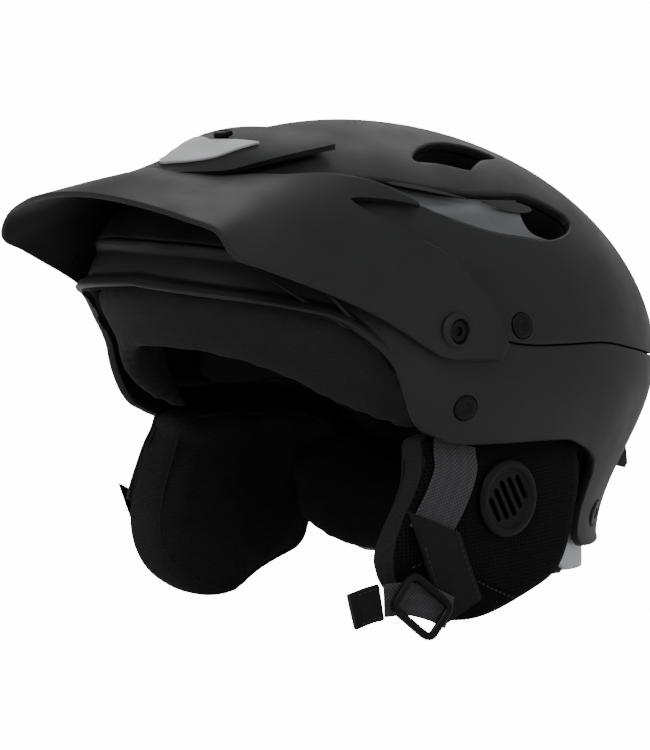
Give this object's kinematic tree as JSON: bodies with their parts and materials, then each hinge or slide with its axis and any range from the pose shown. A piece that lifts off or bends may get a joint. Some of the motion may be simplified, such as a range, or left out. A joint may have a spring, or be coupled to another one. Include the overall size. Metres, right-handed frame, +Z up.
{
  "type": "whitewater helmet with visor and ear pads",
  "caption": "Paddling helmet with a hard two-piece shell, a peaked visor, vented crown, padded ear flaps, chin strap fittings and a rear fit dial.",
  "frame": {"origin": "middle of the head cavity at the height where the shell is widest, where the head holds the helmet", "axes": "+X towards the wearer's left, +Y towards the back of the head, +Z up"},
  "size_m": [0.2306, 0.3104, 0.2275],
  "materials": {
    "shell": "fine matte",
    "scoop": "satin",
    "badge": "satin",
    "trim": "satin",
    "liner": "moulded bead foam",
    "knit": "knitted",
    "pad_fabric": "brushed",
    "webbing": "woven",
    "leather": "smooth, stitched",
    "cradle": "satin"
  },
  "bodies": {
    "helmet": {"brow_pad": "knit", "crown_pad": "knit", "foam_liner": "liner", "leg_plug_left": "trim", "leg_plug_right": "trim", "rear_pad": "knit", "rear_plug_left": "trim", "rear_plug_right": "trim", "scoop_insert_left": "scoop", "scoop_insert_right": "scoop", "shell_lower": "shell", "shell_upper": "shell", "side_pad_left": "knit", "side_pad_right": "knit", "side_plug_left": "trim", "side_plug_right": "trim", "strap_hook_left": "shell", "strap_hook_right": "shell", "temple_plug_left": "trim", "temple_plug_right": "trim", "visor_screw_left": "shell", "visor_screw_right": "shell"},
    "visor": {"visor": "shell", "visor_badge": "badge"},
    "visor_lock_screw": {"visor_lock_screw": "shell"},
    "cradle": {"cradle_band": "cradle", "nape_pad": "pad_fabric"},
    "fit_dial": {"fit_dial": "trim"},
    "ear_left": {"ear_pad_left": "pad_fabric", "ear_grille_left": "trim", "front_strap_left": "webbing", "strap_keeper_left": "leather"},
    "ear_right": {"ear_pad_right": "pad_fabric", "ear_grille_right": "trim", "front_strap_right": "webbing", "strap_keeper_right": "leather"},
    "slider_left": {"strap_slider": "trim"},
    "strap_tail_left": {"strap_tail": "webbing", "pull_tab": "leather"},
    "chin_strap_right": {"chin_strap_right": "webbing", "buckle_plate": "trim"}
  },
  "joints": [
    {"name": "visor_tilt", "type": "hinge", "parent": "helmet", "child": "visor", "pos_m": [0, -0.038, 0.0163], "axis": [-1, 0, 0], "range_deg": [0, 5]},
    {"name": "visor_lock_turn", "type": "hinge", "parent": "visor", "child": "visor_lock_screw", "pos_m": [0, -0.084, 0.0996], "axis": [0, -0.2148, 0.9766], "range_deg": [0, 180]},
    {"name": "cradle_slide", "type": "slide", "parent": "helmet", "child": "cradle", "axis": [0, -1, 0], "range_m": [0, 0.008]},
    {"name": "fit_dial_turn", "type": "hinge", "parent": "cradle", "child": "fit_dial", "pos_m": [0, 0.116, -0.0995], "axis": [0, 1, 0], "range_deg": [0, 300]},
    {"name": "ear_left_fold", "type": "hinge", "parent": "helmet", "child": "ear_left", "pos_m": [0.0965, 0, -0.037], "axis": [0, -1, 0], "range_deg": [0, 16], "stiffness_Nm_per_rad": 0.6},
    {"name": "ear_right_fold", "type": "hinge", "parent": "helmet", "child": "ear_right", "pos_m": [-0.0965, 0, -0.037], "axis": [0, 1, 0], "range_deg": [0, 16], "stiffness_Nm_per_rad": 0.6},
    {"name": "slider_left_swing", "type": "hinge", "parent": "ear_left", "child": "slider_left", "pos_m": [0.099, -0.057, -0.089], "axis": [1, 0, 0], "range_deg": [-6, 6]},
    {"name": "strap_tail_pull", "type": "slide", "parent": "slider_left", "child": "strap_tail_left", "axis": [-0.171, -0.951, 0.2577], "range_m": [0, 0.004]},
    {"name": "chin_strap_right_swing", "type": "hinge", "parent": "ear_right", "child": "chin_strap_right", "pos_m": [-0.103, -0.02, -0.084], "axis": [1, 0, 0], "range_deg": [-12, 12]}
  ],
  "couplings": [
    {"joint": "fit_dial_turn", "follows": "cradle_slide", "rad_per_m": 654.5}
  ]
}
